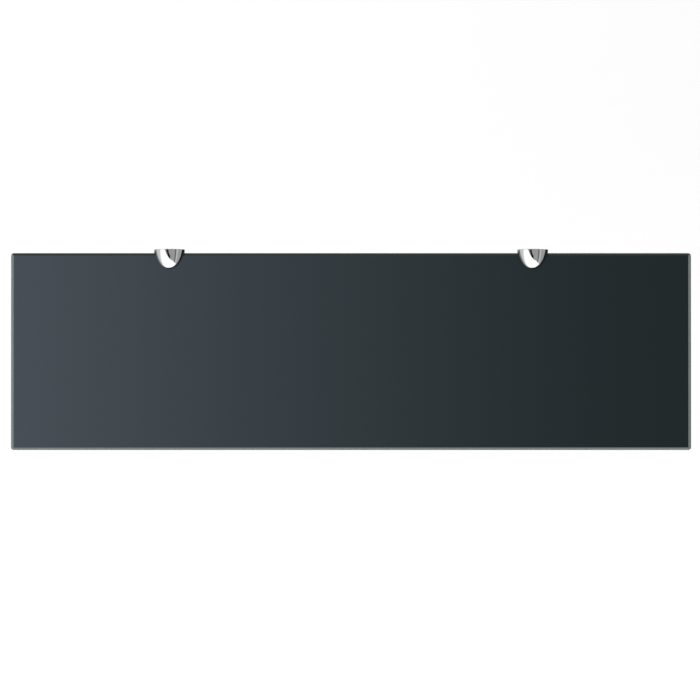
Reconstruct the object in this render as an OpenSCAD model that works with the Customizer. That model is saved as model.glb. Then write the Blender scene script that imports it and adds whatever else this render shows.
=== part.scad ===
// Floating wall shelf: a black glass pane held at its back edge by two chrome clamp brackets.
// Millimetres. +Z is up, the wall is the plane y = 0 and the shelf reaches out along -Y.
// The origin lies midway between the two wall screws, at mid-thickness of the glass.

/* [Glass] */
// Width of the glass pane
glass_w = 700; // [500:10:1100]
// Depth of the glass pane, from its back edge to its front edge
glass_d = 203; // [120:1:300]
// Thickness of the glass
glass_t = 8; // [6:0.5:10]
// Radius of the pane's corners, seen from above
corner_r = 3; // [2.5:0.5:12]
// How far the polished edge rounds in over the top and bottom faces
edge_round = 2.3; // [1:0.1:2.4]

/* [Brackets] */
// Distance between the two brackets, centre to centre
bracket_spacing = 374; // [200:1:450]
// Radius of the lower jaw at the wall, which is also half the web's width
jaw_r = 15.8; // [14:0.2:20]
// How far the lower jaw reaches from the wall
lower_reach = 36; // [32:1:50]
// Fullness of the lower jaw's flanks: 0 is a parabola, 1 is an ellipse
lower_fullness = 0.9; // [0.5:0.05:1]
// Half-width of the upper jaw's arched section at the wall, at mid-thickness of the glass
arch_w = 16.9; // [15:0.1:20]
// Height of that arch above mid-thickness of the glass
arch_h = 14; // [11:0.5:16]
// How far the arch's nose would reach from the wall, at mid-thickness of the glass
upper_reach = 22; // [20:0.5:28]
// Fullness of the upper jaw's flanks: 0 is a parabola, 1 is an ellipse
upper_fullness = 0.6; // [0:0.05:1]
// Thickness of the casting's shell
shell_t = 2.4; // [1.8:0.2:3]
// Thickness of the web between the jaws, which the wall screw clamps
web_t = 3; // [2.6:0.2:4]
// Height of the straight flank between the platform and the lower jaw's axis
flank_h = 1; // [0.5:0.5:3]

/* [Clamping] */
// Gap that the pads fill between the glass and each jaw
pad_gap = 1; // [0.6:0.1:1.6]
// Depth that the upper pad is let into the upper jaw
pad_seat = 0.5; // [0.3:0.1:0.8]
// Thickness of the presser plate
presser_t = 2; // [1.6:0.2:3]
// How far the presser can be let down from the glass
presser_travel = 2; // [1:0.5:2.5]
// Distance from the wall to the clamp screw's axis
screw_y = 14; // [13:0.5:16]
// Radius of the clamp screw's thread
screw_r = 3; // [2.5:0.5:3]
// Length of the clamp screw
screw_l = 12; // [10:1:14]
// Width across the flats of the clamp screw's hexagon socket
socket_af = 3; // [2:0.5:3]

/* [Wall screw hole] */
// Radius of the wall screw hole
wall_hole_r = 2.25; // [1.75:0.25:2.5]
// Radius of the countersink for the wall screw's head
countersink_r = 4.25; // [3.5:0.25:4.5]

/* [Hidden] */

// Clearances
glass_clear = 0.5;    // between the pane's back edge and the web
screw_clear = 0.06;   // round the clamp screw in its bore
presser_clear = 0.3;  // round the presser in its pocket
tip_clear = 0.2;      // round the screw's tip in the presser's seat
cut = 1;              // how far a cutting shape runs past the face that it opens

// Levels, from the glass outwards
mouth_z = glass_t / 2 + pad_gap;            // underside of the upper jaw, and platform below
axis_z = -mouth_z - flank_h;                // axis of the lower jaw
presser_bottom = -mouth_z - presser_t;      // the presser's top is level with the platform
pocket_floor = presser_bottom - presser_travel - presser_clear;
tip_seat = 0.6;                             // depth of the seat for the screw's tip
screw_top = presser_bottom + tip_seat;
screw_bottom = screw_top - screw_l;

// Places, measured from the wall
glass_back = web_t + glass_clear;
ledge = 2;                                  // platform left in front of the web, behind the pocket
pocket_back = web_t + ledge;
boss_wall = 2.5;                            // metal round the clamp screw's bore
pad_margin = 3.4;                           // metal left round the upper pad's seat

// Radius and height of the arc that rounds the pane's edge
edge_arc_r = (pow(glass_t / 2, 2) + pow(edge_round, 2)) / (2 * edge_round);

steps = 14;       // straight pieces that make up a jaw's curve
round_fn = 96;
screw_fn = 48;
chamfer = 0.5;    // on both ends of the clamp screw

// A jaw's radius at a distance from the wall: it falls along a conic to nothing at the nose
function jaw_radius(y, r, reach, fullness) =
    r * sqrt(max(0, (1 - y / reach) * (1 + fullness * y / reach)));

// Distances from the wall between start and reach, closer together towards the nose
function stations(reach, start = 0) =
    let (first = asin(start / reach))
    [for (i = [0 : steps]) reach * sin(first + (90 - first) * i / steps)];

// One flank of a jaw as seen from above, from start to the nose
function flank(r, reach, fullness, start = 0) =
    [for (y = stations(reach, start)) [jaw_radius(y, r, reach, fullness), y]];

// A jaw as seen from above, its nose towards -Y
module jaw_outline(r, reach, fullness, start = 0) {
    right = flank(r, reach, fullness, start);
    left = [for (i = [steps - 1 : -1 : 0]) [-right[i].x, right[i].y]];
    mirror([0, 1]) polygon(concat(right, left));
}

// A profile turned half a turn about the Y axis, on the upper side
module upper_half_turn() {
    rotate([90, 0, 0]) rotate_extrude(angle = 180, $fn = round_fn) children();
}

// Half a turn of a jaw's flank about its axis; back lets it run out behind the wall
module half_jaw(r, reach, fullness, back = 0) {
    curve = flank(r, reach, fullness);
    base = back > 0 ? [[0, -back], [r, -back]] : [[0, 0]];
    upper_half_turn() polygon(concat(base, curve));
}

// Everything above a level
module above(z) {
    size = 4 * jaw_r;
    translate([-size / 2, -size, z]) cube([size, size + cut, size]);
}

// Cross-section of the pane's margin: the outer end is rounded by an arc
module margin_section(reach) {
    translate([0, -glass_t / 2]) square([reach - edge_round, glass_t]);
    intersection() {
        translate([reach - edge_arc_r, 0]) circle(edge_arc_r, $fn = round_fn);
        translate([0, -glass_t / 2]) square([reach, glass_t]);
    }
}

module glass_shelf() {
    x = glass_w / 2 - corner_r;
    y = glass_d / 2 - corner_r;
    color("#26292c") translate([0, -glass_back - glass_d / 2, 0]) {
        translate([-x, -y, -glass_t / 2]) cube([2 * x, 2 * y, glass_t]);
        for (side = [0, 180]) rotate([0, 0, side]) {
            // left and right margins
            translate([x, y, 0]) rotate([90, 0, 0])
                linear_extrude(2 * y) margin_section(corner_r);
            // front and back margins
            translate([-x, y, 0]) rotate([90, 0, 90])
                linear_extrude(2 * x) margin_section(corner_r);
            // two of the corners
            translate([x, y, 0]) rotate_extrude(angle = 90, $fn = round_fn) margin_section(corner_r);
            translate([-x, y, 0]) rotate([0, 0, 90])
                rotate_extrude(angle = 90, $fn = round_fn) margin_section(corner_r);
        }
    }
}

// The arch of the upper jaw, inset by the shell's thickness for its hollow
module arch(inset = 0, back = 0) {
    w = arch_w - inset;
    scale([1, 1, (arch_h - inset) / w]) half_jaw(w, upper_reach - inset, upper_fullness, back);
}

// Upper jaw: the part of the arch that stands above the mouth
module upper_jaw() {
    intersection() {
        arch();
        above(mouth_z);
    }
}

// Web behind the glass
module web() {
    translate([0, 0, axis_z]) linear_extrude(mouth_z - axis_z) intersection() {
        jaw_outline(jaw_r, lower_reach, lower_fullness);
        translate([-jaw_r, -web_t]) square([2 * jaw_r, web_t]);
    }
}

module lower_jaw() {
    translate([0, 0, axis_z]) {
        mirror([0, 0, 1]) half_jaw(jaw_r, lower_reach, lower_fullness);
        linear_extrude(flank_h) jaw_outline(jaw_r, lower_reach, lower_fullness);
    }
}

// Hollows of the casting, open to the wall
module upper_hollow() {
    intersection() {
        arch(shell_t, back = cut);
        above(mouth_z + shell_t);
    }
}

module lower_hollow() {
    difference() {
        translate([0, 0, axis_z]) mirror([0, 0, 1]) intersection() {
            half_jaw(jaw_r - shell_t, lower_reach - shell_t, lower_fullness, back = cut);
            above(axis_z - pocket_floor + shell_t);
        }
        translate([0, -screw_y, axis_z - jaw_r])
            cylinder(r = screw_r + boss_wall, h = jaw_r, $fn = round_fn);
    }
}

module presser_pocket() {
    translate([0, 0, pocket_floor]) linear_extrude(-mouth_z - pocket_floor + cut)
        jaw_outline(jaw_r - shell_t, lower_reach - shell_t, lower_fullness, pocket_back);
}

module upper_pad_outline() {
    jaw_outline(arch_w - pad_margin, upper_reach - pad_margin, upper_fullness, pocket_back);
}

module wall_screw_hole() {
    depth = countersink_r - wall_hole_r;
    rotate([90, 0, 0]) {
        translate([0, 0, -cut]) cylinder(r = wall_hole_r, h = web_t + 2 * cut, $fn = screw_fn);
        translate([0, 0, web_t - depth])
            cylinder(r1 = wall_hole_r, r2 = countersink_r + cut, h = depth + cut, $fn = screw_fn);
    }
}

module housing() {
    color("#d4d7da") difference() {
        union() {
            upper_jaw();
            web();
            lower_jaw();
        }
        upper_hollow();
        lower_hollow();
        presser_pocket();
        translate([0, 0, mouth_z - cut]) linear_extrude(pad_seat + cut) upper_pad_outline();
        translate([0, -screw_y, axis_z - jaw_r - cut])
            cylinder(r = screw_r + screw_clear, h = jaw_r + cut, $fn = screw_fn);
        wall_screw_hole();
    }
}

module upper_pad() {
    color("#1c1c1e") translate([0, 0, glass_t / 2])
        linear_extrude(pad_gap + pad_seat) upper_pad_outline();
}

// Outline of the presser, or of its pad when inset further
module presser_outline(inset) {
    jaw_outline(jaw_r - shell_t - inset, lower_reach - shell_t - inset, lower_fullness,
                pocket_back + inset);
}

module presser() {
    color("#8b8f92") difference() {
        translate([0, 0, presser_bottom]) linear_extrude(presser_t) presser_outline(presser_clear);
        translate([0, -screw_y, presser_bottom - cut])
            cylinder(r = screw_r + tip_clear, h = tip_seat + cut, $fn = screw_fn);
    }
}

module presser_pad() {
    pad_inset = presser_clear + 1;
    color("#1c1c1e") translate([0, 0, -mouth_z]) linear_extrude(pad_gap) presser_outline(pad_inset);
}

module clamp_screw() {
    socket_depth = 3.5;
    color("#b9bcc0") translate([0, -screw_y, screw_bottom]) difference() {
        union() {
            cylinder(r1 = screw_r - chamfer, r2 = screw_r, h = chamfer, $fn = screw_fn);
            translate([0, 0, chamfer]) cylinder(r = screw_r, h = screw_l - 2 * chamfer, $fn = screw_fn);
            translate([0, 0, screw_l - chamfer])
                cylinder(r1 = screw_r, r2 = screw_r - chamfer, h = chamfer, $fn = screw_fn);
        }
        translate([0, 0, -cut]) cylinder(r = socket_af / sqrt(3), h = socket_depth + cut, $fn = 6);
    }
}

module left() {
    translate([-bracket_spacing / 2, 0, 0]) children();
}

module right() {
    translate([bracket_spacing / 2, 0, 0]) children();
}

glass_shelf();
left() housing();  // left_housing
left() upper_pad();  // left_upper_pad
left() presser();  // left_presser
left() presser_pad();  // left_presser_pad
left() clamp_screw();  // left_clamp_screw
right() housing();  // right_housing
right() upper_pad();  // right_upper_pad
right() presser();  // right_presser
right() presser_pad();  // right_presser_pad
right() clamp_screw();  // right_clamp_screw
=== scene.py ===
import math

import bmesh
import bpy
import numpy as np
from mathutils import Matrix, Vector
from mathutils.geometry import delaunay_2d_cdt


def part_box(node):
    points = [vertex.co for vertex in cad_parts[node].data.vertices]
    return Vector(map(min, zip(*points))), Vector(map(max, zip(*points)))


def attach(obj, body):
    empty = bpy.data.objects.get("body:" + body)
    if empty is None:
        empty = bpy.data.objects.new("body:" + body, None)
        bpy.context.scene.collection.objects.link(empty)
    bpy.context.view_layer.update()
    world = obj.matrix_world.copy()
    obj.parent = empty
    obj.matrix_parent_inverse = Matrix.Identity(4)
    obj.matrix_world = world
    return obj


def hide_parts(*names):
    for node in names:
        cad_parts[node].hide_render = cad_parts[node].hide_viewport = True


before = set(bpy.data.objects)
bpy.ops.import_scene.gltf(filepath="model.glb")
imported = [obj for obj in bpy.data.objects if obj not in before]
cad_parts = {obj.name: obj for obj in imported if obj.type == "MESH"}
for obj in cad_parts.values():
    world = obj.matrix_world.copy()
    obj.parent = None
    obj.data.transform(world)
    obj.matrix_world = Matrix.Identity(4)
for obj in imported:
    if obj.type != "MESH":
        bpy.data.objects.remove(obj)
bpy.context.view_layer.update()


# ---------------------------------------------------------------- Bracket housings
# Each bracket is one hollow zinc die casting, polished and chrome plated: a short arched
# jaw over the glass, a long rounded one under it, and a web that a wall screw clamps.
# It is worked out in millimetres about x = 0, with u as the distance from the wall.

SIDES = ("left", "right")

# The jaws: half-width and height at the wall, reach from it, fullness of the flanks, level
# of the axis, and whether the arch rises or hangs
ARCH = dict(r=16.9, h=14.0, reach=22.0, full=0.6, z0=0.0, way=1)
KEEL = dict(r=15.8, h=15.8, reach=36.0, full=0.9, z0=-6.0, way=-1)

SHELL = 2.4                      # thickness of the casting
MOUTH = 5.0                      # the mouth is open from -MOUTH to MOUTH
WEB = 3.0                        # thickness of the web
BACK_EDGE = 0.4                  # rounding of the edge against the wall
WEB_EDGE = 0.5                   # rounding of the web's front corners
RIM_EDGE = 0.55                  # rounding along the rims of the two jaws
RIM_FADE = 2.5                   # it comes in over this distance in front of the web
RIM_CLIMB = 0.9                  # on the upper jaw it climbs this share of its width
POCKET = dict(r=13.4, reach=33.6, full=0.9)          # plan of the presser's pocket
PAD_OUTLINE = dict(r=13.5, reach=18.6, full=0.6)     # plan of the upper pad and its seat
POCKET_FLOOR = -9.3
PAD_SEAT = 0.5                   # depth of the seat for the upper pad
POCKET_BACK = 5.0                # the pocket and the seat start this far from the wall
SCREW_U = 14.0                   # distance of the clamp screw's axis from the wall
BORE_R, BORE_EDGE = 3.06, 0.3    # bore for that screw, and the rounding of its mouth
BOSS_R = 5.5                     # boss round the bore, inside the lower hollow
WALL_HOLE_R, COUNTERSINK_R = 2.25, 4.25


def half_width(u, r, reach, full):
    """Half-width of a jaw at distance u: r times the root of (1 - u/reach)(1 + full u/reach)."""
    t = u / reach
    return r * np.sqrt(np.clip((1 - t) * (1 + full * t), 0, None))


def dome_z(dome, x, u):
    """Height of a jaw's surface over (x, u): a half ellipse as wide as the jaw is there."""
    across = np.clip(half_width(u, dome["r"], dome["reach"], dome["full"]) ** 2 - x ** 2, 0, None)
    return dome["z0"] + dome["way"] * dome["h"] / dome["r"] * np.sqrt(across)


def rim_x(dome, lift, u):
    """Half-width of a jaw at distance u and at a height lift from its axis."""
    wide = half_width(u, dome["r"], dome["reach"], dome["full"])
    return np.sqrt(np.clip(wide ** 2 - (lift * dome["r"] / dome["h"]) ** 2, 0, None))


def rim_stations(dome, lift, first, turns=36):
    """Distances of a jaw's rim stations at height lift from its axis: those in first, then
    crowding towards the nose as a sine does."""
    k, c = dome["full"], (lift / dome["h"]) ** 2
    nose = dome["reach"] * ((k - 1) + math.sqrt((1 - k) ** 2 + 4 * k * (1 - c))) / (2 * k)
    share = np.sin(np.pi / 2 * np.arange(1, turns + 1) / turns)
    return np.append(first, first[-1] + (nose - first[-1]) * share)


def rim_path(dome, lift, first, turns=36):
    """Plan of a jaw's rim from the left end round the nose to the right end."""
    u = rim_stations(dome, lift, first, turns)
    x = rim_x(dome, lift, u)
    x[-1] = 0
    return np.concatenate([np.c_[-x, u], np.c_[x, u][-2::-1]])


def cross_sections(dome, lift, u, count=64):
    """A jaw's surface as one row per distance u: its half ellipse there, from the height
    lift on the left over the crown to the same height on the right."""
    x, z = rim_x(dome, lift, u), lift * dome["r"] / dome["h"] * np.ones(len(u))
    x[-1] = 0
    first, r = np.arctan2(z, x)[:, None], np.hypot(x, z)[:, None]
    a = first + (np.pi - 2 * first) * np.arange(count + 1) / count
    height = dome["z0"] + dome["way"] * dome["h"] / dome["r"] * r * np.sin(a)
    return np.stack([-r * np.cos(a), np.broadcast_to(-u[:, None], a.shape), height], -1)


def wall_path(dome, lift, u, count=30):
    """Plan points from right to left along the line at distance u, even along the arch."""
    x = rim_x(dome, lift, np.array(u)) * np.cos(np.pi * np.arange(1, count) / count)
    return np.c_[x, np.full(x.shape, u)]


def level(points, z):
    """Plan points (x, u) as points of the part at height z: u runs against Y."""
    z = np.broadcast_to(z, points.shape[:-1])
    return np.stack([points[..., 0], -points[..., 1], z], -1)


def inward(path):
    """Unit normals of a plan path that runs left to right round a nose, towards its inside."""
    along = np.gradient(path, axis=0)
    along /= np.linalg.norm(along, axis=1, keepdims=True)
    return np.c_[along[:, 1], -along[:, 0]]


def loft(rows, loop=False):
    """Quads between neighbouring rows of points; loop joins each row's end to its start."""
    rows = np.asarray(rows, float)
    m, n = rows.shape[:2]
    at = np.arange(m * n).reshape(m, n)
    nxt = np.roll(at, -1, axis=1) if loop else at[:, 1:]
    a = at if loop else at[:, :-1]
    quads = np.stack([a[:-1], nxt[:-1], nxt[1:], a[1:]], -1).reshape(-1, 4)
    return rows.reshape(-1, 3), [tuple(q) for q in quads.tolist()], False


def flat(rim, holes=()):
    """Triangles that fill a flat rim of points, apart from the holes: a Delaunay
    triangulation of the outlines, from which what lies in a hole is taken out. They are
    shaded flat, so the last entry is True."""
    loops = [np.asarray(loop, float) for loop in (rim, *holes)]
    spread = np.ptp(loops[0], axis=0)
    keep = [i for i in range(3) if i != int(np.argmin(spread))]
    points = np.concatenate(loops)
    edges, start = [], 0
    for loop in loops:
        n = len(loop)
        edges += [(start + i, start + (i + 1) % n) for i in range(n)]
        start += n
    out = delaunay_2d_cdt([Vector(p) for p in points[:, keep]], edges, [], 1, 1e-6)
    spots, triangles, origin = np.array(out[0]), np.array(out[2]), out[3]
    middle = spots[triangles].mean(axis=1)
    kept = np.ones(len(triangles), bool)
    for hole in loops[1:]:
        a, b = hole[:, keep], np.roll(hole[:, keep], -1, axis=0)
        rises = (a[:, 1] > middle[:, None, 1]) != (b[:, 1] > middle[:, None, 1])
        with np.errstate(divide="ignore", invalid="ignore"):
            slope = (b[:, 0] - a[:, 0]) / (b[:, 1] - a[:, 1])
            cross = a[:, 0] + (middle[:, None, 1] - a[:, 1]) * slope
        kept &= (rises & (cross > middle[:, None, 0])).sum(axis=1) % 2 == 0
    return points[[found[0] for found in origin]], [tuple(t) for t in triangles[kept].tolist()], True


def dome_fan(dome, centre, border, hole=0.0, rings=26):
    """A jaw's surface as spokes from a hole round centre to each border point, with rings
    that crowd towards the border as a sine does."""
    arm = border - centre
    length = np.linalg.norm(arm, axis=1, keepdims=True)
    s = np.sin(np.pi / 2 * np.arange(rings + 1) / rings)[:, None, None]
    spot = centre + arm / length * (hole + (length - hole) * s)
    return np.stack([spot[..., 0], -spot[..., 1], dome_z(dome, spot[..., 0], spot[..., 1])], -1)


def rounding(start, corner, end, count=6):
    """Rows that round a corner: a parabola from start to end that the corner draws out."""
    t = np.linspace(0, 1, count)[:, None, None]
    return (1 - t) ** 2 * start + 2 * t * (1 - t) * corner + t ** 2 * end


def d_outline(r, reach, full, back, count=40):
    """A closed plan outline: a jaw's flanks round the nose, cut straight at distance back."""
    first = math.asin(back / reach)
    u = reach * np.sin(first + (np.pi / 2 - first) * np.arange(count) / count)
    x = half_width(u, r, reach, full)
    return np.concatenate([np.c_[-x, u], [[0, reach]], np.c_[x, u][::-1]])


def casting_patches():
    """The housing's whole surface as patches that share their borders."""
    patches = []
    near = np.array([BACK_EDGE, 0.6, 1.5, WEB - WEB_EDGE])      # stations along the web's flank
    first = np.append(near, WEB)

    # Upper jaw: its surface comes down to the rounding of the rim
    rim = rim_path(ARCH, MOUTH, first)
    edge = RIM_EDGE * np.clip((rim[:, 1] - WEB) / RIM_FADE, 0, 1)
    count = len(rim) // 2 + 1
    arch = cross_sections(ARCH, MOUTH + RIM_CLIMB * edge[:count],
                          rim_stations(ARCH, MOUTH + RIM_CLIMB * RIM_EDGE, first))
    patches.append(loft(arch))
    foot = np.concatenate([arch[:, 0], arch[-2::-1, -1]])
    bend = slice(len(near) - 1, 1 - len(near))
    upper_face = level(rim + inward(rim) * edge[:, None], MOUTH)[bend]
    patches.append(loft(rounding(foot[bend], level(rim, MOUTH)[bend], upper_face)))

    # Lower jaw: its surface runs from the screw's bore to a low upright flank
    rim = rim_path(KEEL, 0.0, first)
    edge = RIM_EDGE * np.clip((rim[:, 1] - WEB) / RIM_FADE, 0, 1)
    border = np.concatenate([rim, wall_path(KEEL, 0.0, BACK_EDGE)])
    keel = dome_fan(KEEL, np.array([0.0, SCREW_U]), border, BORE_R + BORE_EDGE)
    patches.append(loft(keel, loop=True))
    top = level(rim, -MOUTH - edge)
    patches.append(loft(np.linspace(keel[-1, :len(rim)], top, 3)))
    lower_face = level(rim + inward(rim) * edge[:, None], -MOUTH)[bend]
    patches.append(loft(rounding(top[bend], level(rim, -MOUTH)[bend], lower_face)))

    # Web: its flanks run on from jaw to jaw, and its front corners are rounded
    t = np.linspace(0, 1, 5)[1:, None]
    front = {}
    for hand in (-1, 1):
        rows = []
        for s in np.linspace(-1, 1, 5):
            wide = (1 - s) / 2 * rim_x(KEEL, 0, first) + (1 + s) / 2 * rim_x(ARCH, MOUTH, first)
            plan = np.c_[wide, first]
            end = plan[-1] - [WEB_EDGE, 0]
            turn = (1 - t) ** 2 * plan[-2] + 2 * t * (1 - t) * plan[-1] + t ** 2 * end
            plan = np.concatenate([plan[:-1], turn])
            plan[:, 0] *= hand
            rows.append(level(plan, s * MOUTH))
        rows = np.array(rows)
        patches.append(loft(rows))
        front[hand] = rows
    angles = 2 * np.pi * np.arange(48) / 48

    def hole(r, u):
        """Circle of the wall screw hole at distance u."""
        return np.c_[r * np.cos(angles), np.full(len(angles), -u), r * np.sin(angles)]

    flare = COUNTERSINK_R - WALL_HOLE_R
    patches.append(loft([hole(WALL_HOLE_R, 0), hole(WALL_HOLE_R, WEB - flare),
                         hole(COUNTERSINK_R, WEB)], loop=True))
    web_face = np.concatenate([front[-1][:, -1], front[1][::-1, -1]])
    patches.append(flat(web_face, [hole(COUNTERSINK_R, WEB)]))

    # Underside of the upper jaw with the pad's seat, and platform with the presser's pocket
    lip = keel[0]
    circle = (lip[:, :2] + [0, SCREW_U]) * BORE_R / (BORE_R + BORE_EDGE) - [0, SCREW_U]
    for way, outline, z_end in ((1, PAD_OUTLINE, MOUTH + PAD_SEAT), (-1, POCKET, POCKET_FLOOR)):
        z = way * MOUTH
        row = 0 if way < 0 else -1
        inner = upper_face if way > 0 else lower_face
        right = front[1][row, len(near):]
        left = front[-1][row, len(near):][::-1]
        loop = d_outline(**outline, back=POCKET_BACK)
        patches.append(flat(np.concatenate([inner, right, left]), [level(loop, z)]))
        patches.append(loft([level(loop, z), level(loop, z_end)], loop=True))
        if way > 0:
            patches.append(flat(level(loop, z_end)))
        else:
            top = np.c_[circle, np.full(len(circle), z_end)]
            patches.append(flat(level(loop, z_end), [top]))
            bottom = np.c_[circle, lip[:, 2] + BORE_EDGE]
            patches.append(loft([top, bottom], loop=True))
            patches.append(loft(rounding(bottom, np.c_[circle, lip[:, 2]], lip), loop=True))

    # Hollows behind both jaws, open to the wall; the screw's boss stands in the lower one
    mouths = []
    for dome, lift, spokes_u, boss in ((ARCH, MOUTH + SHELL, 6.0, 0.0),
                                       (KEEL, KEEL["z0"] - POCKET_FLOOR + SHELL, SCREW_U, BOSS_R)):
        inner = dict(dome, r=dome["r"] - SHELL, h=dome["h"] - SHELL, reach=dome["reach"] - SHELL)
        brim = rim_path(inner, lift, np.array([0.0, 1.5]), turns=16)
        wall = wall_path(inner, lift, 0.0)
        fan = dome_fan(inner, np.array([0.0, spokes_u]), np.concatenate([brim, wall]), boss, rings=14)
        patches.append(loft(fan, loop=True))
        z = dome["z0"] + dome["way"] * lift
        shelf = fan[-1, :len(brim)]
        if boss:
            top = fan[0].copy()
            top[:, 2] = z
            patches.append(loft([fan[0], top], loop=True))
            patches.append(flat(shelf, [top]))
        else:
            patches.append(flat(shelf))
        mouths.append(np.concatenate([fan[-1, len(brim) - 1:], fan[-1, :1]]))

    # Back: the outline's edge is rounded, and the face against the wall is flat
    shoulders = keel[-1, [0, len(rim) - 1]] * [1, 1, 0] + [0, 0, (KEEL["z0"] - MOUTH) / 2]
    outline = np.concatenate([
        keel[-1, len(rim) - 1:], keel[-1, :1], shoulders[:1],      # lower jaw, right to left
        front[-1][:, 0], arch[0, 1:-1], front[1][::-1, 0], shoulders[1:]])
    along = np.roll(outline, -1, axis=0) - np.roll(outline, 1, axis=0)
    out = np.c_[-along[:, 2], np.zeros(len(along)), along[:, 0]]
    out /= np.linalg.norm(out, axis=1, keepdims=True)
    turns = np.linspace(0, np.pi / 2, 9)[:, None, None]
    plan = outline * [1, 0, 1] - BACK_EDGE * (1 - np.cos(turns)) * out
    rows = plan - np.array([0, 1, 0]) * BACK_EDGE * (1 - np.sin(turns))
    patches.append(loft(rows, loop=True))
    patches.append(flat(rows[-1], [hole(WALL_HOLE_R, 0), *mouths]))
    return patches


def make_piece(name, patches, place=(0, 0, 0), smooth=35):
    """One mesh object from patches in millimetres, its shared borders merged and its faces
    turned outwards; edges sharper than smooth degrees stay sharp."""
    spots, faces, soft, start = [], [], [], 0
    for points, quads, is_flat in patches:
        spots.append(points)
        faces += [tuple(i + start for i in q) for q in quads]
        soft += [not is_flat] * len(quads)
        start += len(points)
    mesh = bpy.data.meshes.new(name)
    mesh.from_pydata(((np.concatenate(spots) + place) / 1000).tolist(), [], faces)
    mesh.polygons.foreach_set("use_smooth", soft)
    bm = bmesh.new()
    bm.from_mesh(mesh)
    bmesh.ops.remove_doubles(bm, verts=bm.verts, dist=1e-7)
    bmesh.ops.dissolve_degenerate(bm, edges=bm.edges, dist=1e-8)
    bmesh.ops.recalc_face_normals(bm, faces=bm.faces)
    bm.to_mesh(mesh)
    bm.free()
    mesh.set_sharp_from_angle(angle=math.radians(smooth))
    piece = bpy.data.objects.new(name, mesh)
    bpy.context.scene.collection.objects.link(piece)
    return piece


def srgb(code):
    """A hex colour as the linear RGBA that a shader takes."""
    parts = [int(code[i:i + 2], 16) / 255 for i in (1, 3, 5)]
    return [c / 12.92 if c <= 0.04045 else ((c + 0.055) / 1.055) ** 2.4 for c in parts] + [1.0]


def add(tree, kind, settings=None, inputs=None):
    """Adds a node: settings are its properties, and each input takes a value or a socket."""
    made = tree.nodes.new(kind)
    for key, value in (settings or {}).items():
        setattr(made, key, value)
    for key, value in (inputs or {}).items():
        if isinstance(value, bpy.types.NodeSocket):
            tree.links.new(value, made.inputs[key])
        else:
            made.inputs[key].default_value = value
    return made


def new_material(name):
    """An empty node material, its tree and its output node."""
    material = bpy.data.materials.new(name)
    material.use_nodes = True
    material.node_tree.nodes.clear()
    out = add(material.node_tree, "ShaderNodeOutputMaterial")
    return material, material.node_tree, out


# Zinc die casting, polished on mops and chrome plated: a mirror with a trace of orange
# peel about 2 mm across, and polishing haze that comes and goes over some 8 mm.
chrome, tree, out = new_material("zinc_casting_chrome_plated")
at = add(tree, "ShaderNodeTexCoord").outputs["Object"]
haze = add(tree, "ShaderNodeTexNoise", None, {"Vector": at, "Scale": 1 / 0.008, "Detail": 3.0})
rough = add(tree, "ShaderNodeMapRange", None,
            {"Value": haze.outputs["Fac"], "From Min": 0.35, "From Max": 0.65,
             "To Min": 0.03, "To Max": 0.06})
peel = add(tree, "ShaderNodeTexNoise", None, {"Vector": at, "Scale": 1 / 0.002, "Detail": 2.0})
bump = add(tree, "ShaderNodeBump", None,
           {"Height": peel.outputs["Fac"], "Strength": 0.25, "Distance": 0.00001})
shader = add(tree, "ShaderNodeBsdfPrincipled", None,
             {"Base Color": srgb("#e3e5e6"), "Metallic": 1.0, "Roughness": rough.outputs[0],
              "Normal": bump.outputs[0]})
tree.links.new(shader.outputs[0], out.inputs["Surface"])

centre_x = {}
for side in SIDES:
    low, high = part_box(side + "_housing")
    centre_x[side] = (low.x + high.x) / 2 * 1000
    housing = make_piece(side + "_casting", casting_patches(), (centre_x[side], 0, 0), smooth=22)
    housing.data.materials.append(chrome)
    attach(housing, "brackets")
    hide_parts(side + "_housing")


# ---------------------------------------------------------------- Upper pads
# A black rubber pad, moulded with a soft lower edge, is stuck into a shallow seat under
# each upper jaw, and the pane presses up against it.

UPPER_PAD_Z = (4.0, 5.5)
PAD_EDGE = 0.3                   # rounding of the pad's edge towards the glass


def plate(outline_at, z_low, z_high, low_edge, high_edge):
    """A level plate with rounded edges: its outline, drawn in by an inset that follows a
    quarter circle at each edge, carried up from z_low to z_high. Both ends are left open."""
    rows = []
    for edge, z, way in ((low_edge, z_low, 1), (high_edge, z_high, -1)):
        for t in np.linspace(0, np.pi / 2, 5)[::way]:
            inset, rise = edge * (1 - np.sin(t)), edge * (1 - np.cos(t))
            rows.append(level(outline_at(inset), z + way * rise))
    return np.array(rows)


# Nitrile rubber from a spark-eroded mould: matt, with a fine even grain of about 0.3 mm.
rubber, tree, out = new_material("moulded_black_rubber")
at = add(tree, "ShaderNodeTexCoord").outputs["Object"]
grain = add(tree, "ShaderNodeTexNoise", None, {"Vector": at, "Scale": 1 / 0.0003, "Detail": 2.0})
bloom = add(tree, "ShaderNodeTexNoise", None, {"Vector": at, "Scale": 1 / 0.006, "Detail": 2.0})
tint = add(tree, "ShaderNodeMix", {"data_type": "RGBA"},
           {0: bloom.outputs["Fac"], 6: srgb("#171718"), 7: srgb("#242425")})
bump = add(tree, "ShaderNodeBump", None,
           {"Height": grain.outputs["Fac"], "Strength": 0.5, "Distance": 0.00004})
shader = add(tree, "ShaderNodeBsdfPrincipled", None,
             {"Base Color": tint.outputs[2], "Roughness": 0.62, "IOR": 1.52, "Normal": bump.outputs[0]})
tree.links.new(shader.outputs[0], out.inputs["Surface"])

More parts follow.
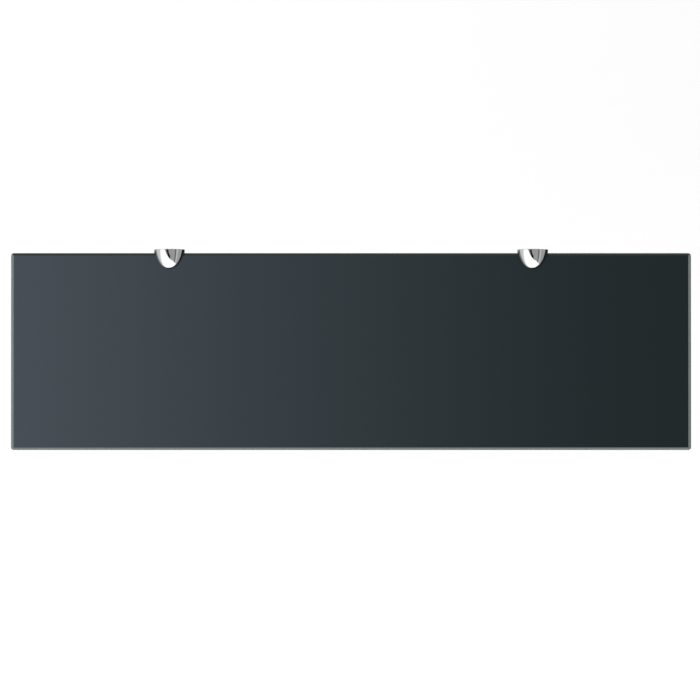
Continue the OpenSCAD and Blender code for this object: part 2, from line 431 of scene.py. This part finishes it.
for side in SIDES:
    rows = plate(lambda inset: d_outline(PAD_OUTLINE["r"] - inset, PAD_OUTLINE["reach"] - inset,
                                         PAD_OUTLINE["full"], POCKET_BACK + inset),
                 *UPPER_PAD_Z, PAD_EDGE, 0.0)
    pad = make_piece(side + "_jaw_pad", [loft(rows, loop=True), flat(rows[0]), flat(rows[-1])],
                     (centre_x[side], 0, 0))
    pad.data.materials.append(rubber)
    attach(pad, "brackets")
    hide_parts(side + "_upper_pad")


# ---------------------------------------------------------------- Pressers
# A grey moulded nylon plate lies in the lower jaw's pocket. The clamp screw's tip sits in
# a round seat in its underside and lifts it towards the glass.

PRESSER_Z = (-7.0, -5.0)
PRESSER_CLEAR = 0.3              # running clearance in the pocket
LOW_EDGE, TOP_EDGE = 0.4, 0.25   # rounding of the plate's lower and upper edge
SEAT_R, SEAT_DEPTH = 3.2, 0.6    # seat for the screw's tip


def ring(r, u, z, count=64):
    """A level circle round the point at distance u on the middle plane."""
    a = 2 * np.pi * np.arange(count) / count
    return level(np.c_[r * np.cos(a), u + r * np.sin(a)], z)


# Nylon 6 from a vapour-blasted mould: satin, a little translucent, with flow marks some
# 5 mm long and a fine grain.
nylon, tree, out = new_material("moulded_grey_nylon")
at = add(tree, "ShaderNodeTexCoord").outputs["Object"]
flow = add(tree, "ShaderNodeTexNoise", None,
           {"Vector": at, "Scale": 1 / 0.005, "Detail": 3.0, "Distortion": 0.6})
grain = add(tree, "ShaderNodeTexNoise", None, {"Vector": at, "Scale": 1 / 0.0004, "Detail": 2.0})
tint = add(tree, "ShaderNodeMix", {"data_type": "RGBA"},
           {0: flow.outputs["Fac"], 6: srgb("#85898c"), 7: srgb("#93979a")})
bump = add(tree, "ShaderNodeBump", None,
           {"Height": grain.outputs["Fac"], "Strength": 0.35, "Distance": 0.00003})
shader = add(tree, "ShaderNodeBsdfPrincipled", None,
             {"Base Color": tint.outputs[2], "Roughness": 0.45, "IOR": 1.53, "Subsurface Weight": 0.1,
              "Subsurface Scale": 0.001, "Normal": bump.outputs[0]})
tree.links.new(shader.outputs[0], out.inputs["Surface"])

for side in SIDES:
    rows = plate(lambda inset: d_outline(POCKET["r"] - PRESSER_CLEAR - inset,
                                         POCKET["reach"] - PRESSER_CLEAR - inset, POCKET["full"],
                                         POCKET_BACK + PRESSER_CLEAR + inset),
                 *PRESSER_Z, LOW_EDGE, TOP_EDGE)
    low = ring(SEAT_R, SCREW_U, PRESSER_Z[0])
    top = low + [0, 0, SEAT_DEPTH]
    presser = make_piece(side + "_presser_plate",
                         [loft(rows, loop=True), flat(rows[0], [low]), loft([low, top], loop=True),
                          flat(top), flat(rows[-1])], (centre_x[side], 0, 0))
    presser.data.materials.append(nylon)
    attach(presser, side + "_presser")
    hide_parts(side + "_presser")


# ---------------------------------------------------------------- Presser pads
# A 1 mm pad of the same black rubber, moulded with a soft upper edge, is stuck on top of
# each presser, so that the clamp grips the pane without marking it.

PRESSER_PAD_Z = (-5.0, -4.0)
PAD_INSET = 1.3                  # how far the pad lies within the pocket's outline

for side in SIDES:
    rows = plate(lambda inset: d_outline(POCKET["r"] - PAD_INSET - inset,
                                         POCKET["reach"] - PAD_INSET - inset, POCKET["full"],
                                         POCKET_BACK + PAD_INSET + inset),
                 *PRESSER_PAD_Z, 0.0, PAD_EDGE)
    pad = make_piece(side + "_presser_rubber", [loft(rows, loop=True), flat(rows[0]), flat(rows[-1])],
                     (centre_x[side], 0, 0))
    pad.data.materials.append(rubber)
    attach(pad, side + "_presser")
    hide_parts(side + "_presser_pad")


# ---------------------------------------------------------------- Clamp screws
# M6 set screws of zinc-plated steel with a hexagon socket, rolled thread and flat tip,
# turned from below with a 3 mm key.

SCREW_R, PITCH, THREAD_DEPTH = 2.98, 1.0, 0.6
CREST, FLANK = 0.12, 0.7         # flat crest and flank, as shares of half a pitch
SCREW_Z = (-18.4, -6.4)          # from its socket end up to its tip
CHAMFER = 0.6
SOCKET_AF, SOCKET_DEPTH = 3.0, 3.5
SOCKET_CONE = 0.8                # cone that the drill leaves at the socket's end


def thread_rows(turn_steps=48, step=0.125):
    """A thread's surface over angle and height: the crest radius less a trapezium wave of
    height minus pitch times turns, which is a right-hand helix, drawn in by both chamfers."""
    z = np.arange(SCREW_Z[0], SCREW_Z[1] + step / 2, step)
    a = 2 * np.pi * np.arange(turn_steps) / turn_steps
    height, angle = np.meshgrid(z, a, indexing="ij")
    wave = np.abs(((height / PITCH - angle / (2 * np.pi)) % 1.0) * 2 - 1)
    radius = SCREW_R - THREAD_DEPTH * np.clip((wave - CREST) / FLANK, 0, 1)
    end = np.minimum(height - SCREW_Z[0], SCREW_Z[1] - height)
    radius = np.minimum(radius, SCREW_R - CHAMFER + np.clip(end, 0, CHAMFER))
    return np.stack([radius * np.cos(angle), -SCREW_U - radius * np.sin(angle), height], -1)


# Bright zinc plating over rolled steel: a blue-white metal with a soft, slightly mottled
# sheen; the mottling is about 1 mm across.
steel, tree, out = new_material("rolled_steel_zinc_plated")
at = add(tree, "ShaderNodeTexCoord").outputs["Object"]
mottle = add(tree, "ShaderNodeTexNoise", None, {"Vector": at, "Scale": 1 / 0.001, "Detail": 3.0})
rough = add(tree, "ShaderNodeMapRange", None,
            {"Value": mottle.outputs["Fac"], "From Min": 0.3, "From Max": 0.7,
             "To Min": 0.22, "To Max": 0.38})
tint = add(tree, "ShaderNodeMix", {"data_type": "RGBA"},
           {0: mottle.outputs["Fac"], 6: srgb("#a9adb2"), 7: srgb("#bfc2c4")})
shader = add(tree, "ShaderNodeBsdfPrincipled", None,
             {"Base Color": tint.outputs[2], "Metallic": 1.0, "Roughness": rough.outputs[0]})
tree.links.new(shader.outputs[0], out.inputs["Surface"])

for side in SIDES:
    rows = thread_rows()
    hexagon = ring(SOCKET_AF / math.sqrt(3), SCREW_U, SCREW_Z[0], 6)
    seat = hexagon + [0, 0, SOCKET_DEPTH]
    tip = np.broadcast_to([0, -SCREW_U, SCREW_Z[0] + SOCKET_DEPTH + SOCKET_CONE], seat.shape)
    screw = make_piece(side + "_set_screw",
                       [loft(rows, loop=True), flat(rows[0], [hexagon]), flat(rows[-1]),
                        loft([hexagon, seat, tip], loop=True)], (centre_x[side], 0, 0))
    screw.data.materials.append(steel)
    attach(screw, side + "_screw")
    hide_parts(side + "_clamp_screw")


# ---------------------------------------------------------------- Glass pane
# Tempered glass, black right through. Its front and side edges are ground round and polished, which
# leaves them a paler grey;
# the back edge, which goes against the wall, is left as dark as the face, and that darkness is painted
# shade.

low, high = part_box("glass_shelf")
HALF_W, HALF_D = (high.x - low.x) * 500, (high.y - low.y) * 500
HALF_T, MIDDLE_Y = (high.z - low.z) * 500, (high.y + low.y) * 500
CORNER_R = 3.0
EDGE_ROUND = 2.3                 # how far the edge rounds in over each face
CREASE = 0.35                    # rounding of the crease between edge and face
FADE = 0.25                      # how far the grinding fades out over the face
CORNER_POINTS = 13               # points along each corner's arc
SIDE_GROUND = EDGE_ROUND + CREASE + 0.02    # the ground look takes in the sides' creases
FRONT_GROUND = EDGE_ROUND - 0.6 * CREASE    # and stops short of the front's


def pane_path(inset):
    """Rounded rectangle, drawn in by inset: four corner arcs that meet along the sides. An
    arc never shrinks to nothing, so that its points stay apart."""
    r = max(CORNER_R - inset, 0.01)
    a = np.linspace(0, np.pi / 2, CORNER_POINTS)
    arc = np.c_[np.cos(a), np.sin(a)]
    points = []
    for k in range(4):
        c, s = math.cos(k * math.pi / 2), math.sin(k * math.pi / 2)
        turned = arc @ np.array([[c, s], [-s, c]])
        sign = np.sign(turned[CORNER_POINTS // 2])
        points.append(turned * r + sign * [HALF_W - inset - r, HALF_D - inset - r])
    return np.concatenate(points)


def edge_profile(count=11):
    """Half of the pane's edge as (inset, height): the arc through the outermost point and
    both creases, then a parabola over the crease and on to the flat face."""
    arc_r = (HALF_T ** 2 + EDGE_ROUND ** 2) / (2 * EDGE_ROUND)
    top = math.asin(HALF_T / arc_r)
    a = np.linspace(0, top - CREASE / arc_r, count)
    arc = np.c_[arc_r - arc_r * np.cos(a), arc_r * np.sin(a)]
    t = np.linspace(0, 1, 5)[1:, None]
    bend = (1 - t) ** 2 * arc[-1] + 2 * t * (1 - t) * np.array([EDGE_ROUND, HALF_T]) \
        + t ** 2 * np.array([EDGE_ROUND + CREASE, HALF_T])
    return np.concatenate([arc, bend, bend[-1:] + [[FADE, 0]]])


upper = edge_profile()
profile = np.concatenate([upper[::-1], (upper * [1, -1])[1:]])
rows = np.array([np.c_[pane_path(d), np.full(4 * CORNER_POINTS, z)] for d, z in profile])
rows += [0, MIDDLE_Y, 0]
pane = make_piece("glass_pane", [loft(rows, loop=True), flat(rows[0]), flat(rows[-1])], smooth=60)

# How much a point takes the pale ground look: 1 on the front and side edges, 0 on the faces and on the
# back edge, where the 0 is painted shade
spots = np.empty(len(pane.data.vertices) * 3)
pane.data.vertices.foreach_get("co", spots)
spots = spots.reshape(-1, 3) * 1000 - [0, MIDDLE_Y, 0]
side_in = HALF_W - np.abs(spots[:, 0])
front_in = spots[:, 1] + HALF_D
back_in = HALF_D - spots[:, 1]
on_edge = (side_in < SIDE_GROUND) | (front_in < FRONT_GROUND)
# The back edge is left out, so that it stays as dark as the face: painted shade
on_edge &= (back_in > EDGE_ROUND + CREASE) | (side_in < back_in)
ground = pane.data.attributes.new("ground_edge_and_back_shade", "FLOAT", "POINT")
ground.data.foreach_set("value", on_edge.astype(np.float32))

# Black soda-lime glass, float made and tempered: a gloss face with a faint roller wave
# some 30 mm long; where it was ground, the polish leaves a pale grey-green bloom.
glass, tree, out = new_material("black_glass_polished")
at = add(tree, "ShaderNodeTexCoord").outputs["Object"]
edge = add(tree, "ShaderNodeAttribute", {"attribute_name": "ground_edge_and_back_shade"}).outputs["Fac"]
wave = add(tree, "ShaderNodeTexNoise", None, {"Vector": at, "Scale": 1 / 0.03, "Detail": 1.0})
wipe = add(tree, "ShaderNodeTexNoise", None,
           {"Vector": at, "Scale": 1 / 0.06, "Detail": 4.0, "Distortion": 0.5})
wheel = add(tree, "ShaderNodeTexNoise", None, {"Vector": at, "Scale": 1 / 0.0012, "Detail": 3.0})
face_rough = add(tree, "ShaderNodeMapRange", None,
                 {"Value": wipe.outputs["Fac"], "From Min": 0.3, "From Max": 0.7,
                  "To Min": 0.015, "To Max": 0.045})
edge_rough = add(tree, "ShaderNodeMapRange", None,
                 {"Value": wheel.outputs["Fac"], "From Min": 0.3, "From Max": 0.7,
                  "To Min": 0.22, "To Max": 0.34})
rough = add(tree, "ShaderNodeMix", {"data_type": "FLOAT"},
            {0: edge, 2: face_rough.outputs[0], 3: edge_rough.outputs[0]})
bloom = add(tree, "ShaderNodeMix", {"data_type": "RGBA"},
            {0: wheel.outputs["Fac"], 6: srgb("#646a69"), 7: srgb("#767d7b")})
# Where the attribute is 0 the face colour is used; along the back edge this is painted shade
tint = add(tree, "ShaderNodeMix", {"data_type": "RGBA"},
           {0: edge, 6: srgb("#1f2628"), 7: bloom.outputs[2]})
bump = add(tree, "ShaderNodeBump", None,
           {"Height": wave.outputs["Fac"], "Strength": 0.2, "Distance": 0.00001})
shader = add(tree, "ShaderNodeBsdfPrincipled", None,
             {"Base Color": tint.outputs[2], "Roughness": rough.outputs[0], "IOR": 1.52,
              "Normal": bump.outputs[0]})
tree.links.new(shader.outputs[0], out.inputs["Surface"])
pane.data.materials.append(glass)
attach(pane, "pane")
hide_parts("glass_shelf")


# ---------------------------------------------------------------- Studio floor
# A round sheet of seamless white paper well below the shelf. It keeps the soft shadow, and
# its far parts fade into the white of the backdrop; from below it can be looked through.

FLOOR_Z, FLOOR_R = -1.25, 9.0
FLOOR_SIDES = 96
FADE_START, FADE_END = 2.2, 5.0  # where the paper fades, from the middle

a = 2 * np.pi * np.arange(FLOOR_SIDES) / FLOOR_SIDES
circle = np.c_[FLOOR_R * np.cos(a), FLOOR_R * np.sin(a), np.full(FLOOR_SIDES, FLOOR_Z)]
mesh = bpy.data.meshes.new("paper_floor")
mesh.from_pydata(circle.tolist(), [], [tuple(range(FLOOR_SIDES))])
floor = bpy.data.objects.new("paper_floor", mesh)
bpy.context.scene.collection.objects.link(floor)
paper, tree, out = new_material("seamless_paper_white")
at = add(tree, "ShaderNodeTexCoord").outputs["Object"]
span = add(tree, "ShaderNodeVectorMath", {"operation": "LENGTH"}, {0: at})
far = add(tree, "ShaderNodeMapRange", {"interpolation_type": "SMOOTHSTEP"},
          {"Value": span.outputs["Value"], "From Min": FADE_START, "From Max": FADE_END})
near_paper = add(tree, "ShaderNodeBsdfDiffuse", None, {"Color": (0.97, 0.97, 0.97, 1)})
far_paper = add(tree, "ShaderNodeEmission", None, {"Color": (1, 1, 1, 1), "Strength": 1.0})
sheet = add(tree, "ShaderNodeMixShader", None,
            {0: far.outputs[0], 1: near_paper.outputs[0], 2: far_paper.outputs[0]})
behind = add(tree, "ShaderNodeNewGeometry").outputs["Backfacing"]
through = add(tree, "ShaderNodeBsdfTransparent")
both = add(tree, "ShaderNodeMixShader", None, {0: behind, 1: sheet.outputs[0], 2: through.outputs[0]})
tree.links.new(both.outputs[0], out.inputs["Surface"])
mesh.materials.append(paper)
floor.visible_glossy = False


# ---------------------------------------------------------------- Overhead light card
# A silk panel 3 m above the shelf, lit from its left end, which the glass mirrors as a
# glow that dies away to the right. Only reflections see it.

CARD_Z, CARD_X, CARD_Y = 3.0, 0.56, 0.5     # height, half-length and half-depth
FADE_X, FADE_Y = 0.46, 0.34      # where its ends and its sides start to fade
LIT_X = 0.388                    # the light falls from -LIT_X to LIT_X

corners = [(-CARD_X, -CARD_Y, CARD_Z), (-CARD_X, CARD_Y, CARD_Z),
           (CARD_X, CARD_Y, CARD_Z), (CARD_X, -CARD_Y, CARD_Z)]
mesh = bpy.data.meshes.new("silk_card")
mesh.from_pydata(corners, [], [(0, 1, 2, 3)])
card = bpy.data.objects.new("silk_card", mesh)
bpy.context.scene.collection.objects.link(card)

# The light falls off across the card as a power of the way to its right end, and the card
# grows clear towards its margins, so that no edge of it shows in the glass
silk, tree, out = new_material("silk_lit_from_the_left")
at = add(tree, "ShaderNodeTexCoord").outputs["Object"]
axes = add(tree, "ShaderNodeSeparateXYZ", None, {0: at})
fall = add(tree, "ShaderNodeMapRange", None,
           {"Value": axes.outputs["X"], "From Min": -LIT_X, "From Max": LIT_X,
            "To Min": 1.0, "To Max": 0.0})
power = add(tree, "ShaderNodeMath", {"operation": "POWER"}, {0: fall.outputs[0], 1: 1.55})
glow = add(tree, "ShaderNodeMapRange", None,
           {"Value": power.outputs[0], "To Min": 0.05, "To Max": 1.61})
light = add(tree, "ShaderNodeEmission", None,
            {"Color": srgb("#ddebff"), "Strength": glow.outputs[0]})
size_x = add(tree, "ShaderNodeMath", {"operation": "ABSOLUTE"}, {0: axes.outputs["X"]})
size_y = add(tree, "ShaderNodeMath", {"operation": "ABSOLUTE"}, {0: axes.outputs["Y"]})
fade_x = add(tree, "ShaderNodeMapRange", {"interpolation_type": "SMOOTHSTEP"},
             {"Value": size_x.outputs[0], "From Min": FADE_X, "From Max": CARD_X,
              "To Min": 1.0, "To Max": 0.0})
fade_y = add(tree, "ShaderNodeMapRange", {"interpolation_type": "SMOOTHSTEP"},
             {"Value": size_y.outputs[0], "From Min": FADE_Y, "From Max": CARD_Y,
              "To Min": 1.0, "To Max": 0.0})
fade = add(tree, "ShaderNodeMath", {"operation": "MULTIPLY"},
           {0: fade_x.outputs[0], 1: fade_y.outputs[0]})
clear = add(tree, "ShaderNodeBsdfTransparent")
both = add(tree, "ShaderNodeMixShader", None,
           {0: fade.outputs[0], 1: clear.outputs[0], 2: light.outputs[0]})
tree.links.new(both.outputs[0], out.inputs["Surface"])
mesh.materials.append(silk)
card.visible_camera = card.visible_diffuse = card.visible_transmission = False
card.visible_shadow = card.visible_volume_scatter = False


# ---------------------------------------------------------------- Studio round the shelf
# The backdrop is white, and light comes softly from all sides, with a little more from the
# upper left. What shines sees a studio instead: a white tent wall in front and on the left
# with a dark seam along its top, a grey ceiling, and banded walls on the right.

SOFT = 0.95                      # strength of the even light, to which the lamp adds
RIGHT, BACK, UP = (1, 0, 0), (0, 1, 0), (0, 0, 1)

world = bpy.data.worlds.new("studio")
bpy.context.scene.world = world
world.use_nodes = True
tree = world.node_tree
tree.nodes.clear()
way = add(tree, "ShaderNodeTexCoord").outputs["Generated"]
path = add(tree, "ShaderNodeLightPath")


def paint(room, grey, *limits):
    """Paints the room grey where every limit holds. A limit is a direction, or a value's
    socket, and the two values between which the paint comes in by a smooth step: a
    direction's value is how far the view points along it. The shares are multiplied."""
    share = 1.0
    for value, start, end in limits:
        if isinstance(value, tuple):
            value = add(tree, "ShaderNodeVectorMath", {"operation": "DOT_PRODUCT"},
                        {0: way, 1: value}).outputs["Value"]
        step = add(tree, "ShaderNodeMapRange", {"interpolation_type": "SMOOTHSTEP"},
                   {"Value": value, "From Min": start, "From Max": end})
        share = add(tree, "ShaderNodeMath", {"operation": "MULTIPLY"},
                    {0: step.outputs[0], 1: share}).outputs[0]
    return add(tree, "ShaderNodeMix", {"data_type": "FLOAT"}, {0: share, 2: room, 3: grey}).outputs[0]


# Right half: a grey ceiling, then level bands of dark, light and grey wall towards the right
reach = add(tree, "ShaderNodeVectorMath", {"operation": "DOT_PRODUCT"},
            {0: way, 1: (0.794, 0.186, -0.579)})
spread = add(tree, "ShaderNodeMapRange", None,
             {"Value": reach.outputs["Value"], "From Min": -0.3, "From Max": 0.7})
bands = add(tree, "ShaderNodeValToRGB", None, {0: spread.outputs[0]})
stops = ((0.0, 0.385), (0.17, 0.40), (0.24, 0.33), (0.29, 0.09), (0.34, 0.14), (0.42, 0.48),
         (0.51, 0.70), (0.61, 0.42), (0.75, 0.36), (0.90, 0.42))
while len(bands.color_ramp.elements) < len(stops):
    bands.color_ramp.elements.new(0.5)
for stop, (where, grey) in zip(bands.color_ramp.elements, stops):
    stop.position, stop.color = where, (grey, grey, grey, 1)
room = paint(bands.outputs["Color"], 0.40, (BACK, 0.0, 0.5))

# Front left of a point near the zenith: a dim roof, and round it the dark seam, as a ring
overhead = (0.203, -0.177, 0.963)
room = paint(room, 0.20, (overhead, 0.93, 0.90), (RIGHT, 0.08, -0.02), (BACK, 0.0, -0.04))
room = paint(room, 0.0, (overhead, 0.890, 0.905), (overhead, 0.963, 0.947), (RIGHT, 0.13, 0.06),
             (RIGHT, -0.34, -0.26), (BACK, 0.0, -0.04))

# Tent wall: cut off by slanting planes above, behind and on the right, dimmer low on the left
bright = paint(0.70, 1.35, ((0.498, -0.450, 0.741), -0.08, 0.16))
room = paint(room, bright, ((0.445, 0.399, 0.802), 0.448, 0.408), (BACK, 0.25, 0.0),
             ((0.6825, 0.6699, 0.2927), 0.04, -0.03))

# Dark skirting in front; below the horizon it is grey on the left and behind, black elsewhere
room = paint(room, 0.01, (UP, 0.11, 0.06), (RIGHT, -0.4, 0.0), (RIGHT, 0.8, 0.6), (BACK, 0.0, -0.2))
below = paint(0.62, 0.01, (RIGHT, -0.80, 0.05))
below = paint(below, 0.5, (BACK, 0.25, 0.6))
room = paint(room, below, (UP, 0.03, -0.28))

# What a second mirror sees is dark but for the far left and the back, which draws a black
# line between the chrome and the glass
room = paint(room, 0.01, (path.outputs["Glossy Depth"], 1.4, 1.6), (RIGHT, -0.95, -0.2),
             (BACK, 0.6, 0.35))

seen = add(tree, "ShaderNodeMath", {"operation": "MAXIMUM"},
           {0: path.outputs["Is Camera Ray"], 1: path.outputs["Is Transmission Ray"]})
strength = add(tree, "ShaderNodeMix", {"data_type": "FLOAT"},
               {0: path.outputs["Is Glossy Ray"], 2: SOFT, 3: room})
strength = add(tree, "ShaderNodeMix", {"data_type": "FLOAT"},
               {0: seen.outputs[0], 2: strength.outputs[0], 3: 1.0})
backdrop = add(tree, "ShaderNodeBackground", None,
               {"Color": (1, 1, 1, 1), "Strength": strength.outputs[0]})
add(tree, "ShaderNodeOutputWorld", None, {"Surface": backdrop.outputs[0]})

lamp_data = bpy.data.lights.new("softbox", "AREA")
lamp_data.shape = "DISK"
lamp_data.size = 1.6
lamp_data.energy = 24.0
lamp = bpy.data.objects.new("softbox", lamp_data)
bpy.context.scene.collection.objects.link(lamp)
lamp.location = (-1.5, -1.1, 2.3)
lamp.rotation_euler = (Vector(lamp.location) - Vector((0, -0.1, 0))).to_track_quat("Z", "Y").to_euler()
lamp.visible_glossy = False


# ---------------------------------------------------------------- Camera
# Straight over the shelf and 3.7 degrees towards its front, 28 m away with a long lens, so
# that both brackets look alike.

CAMERA_ELEVATION, CAMERA_AWAY = math.radians(86.3), 28.0
SEEN_WIDTH = 0.7204              # width of the view at the glass
SENSOR = 36.0                    # mm
AIM = (-0.00105, -0.1037, 0.004)

camera_data = bpy.data.cameras.new("camera")
camera_data.sensor_width = SENSOR
camera_data.lens = SENSOR * CAMERA_AWAY / SEEN_WIDTH
camera_data.clip_end = 200.0
camera = bpy.data.objects.new("camera", camera_data)
bpy.context.scene.collection.objects.link(camera)
back = Vector((0, -math.cos(CAMERA_ELEVATION), math.sin(CAMERA_ELEVATION)))
camera.location = Vector(AIM) + back * CAMERA_AWAY
camera.rotation_euler = back.to_track_quat("Z", "Y").to_euler()
bpy.context.scene.camera = camera
bpy.context.scene.view_settings.view_transform = "Standard"
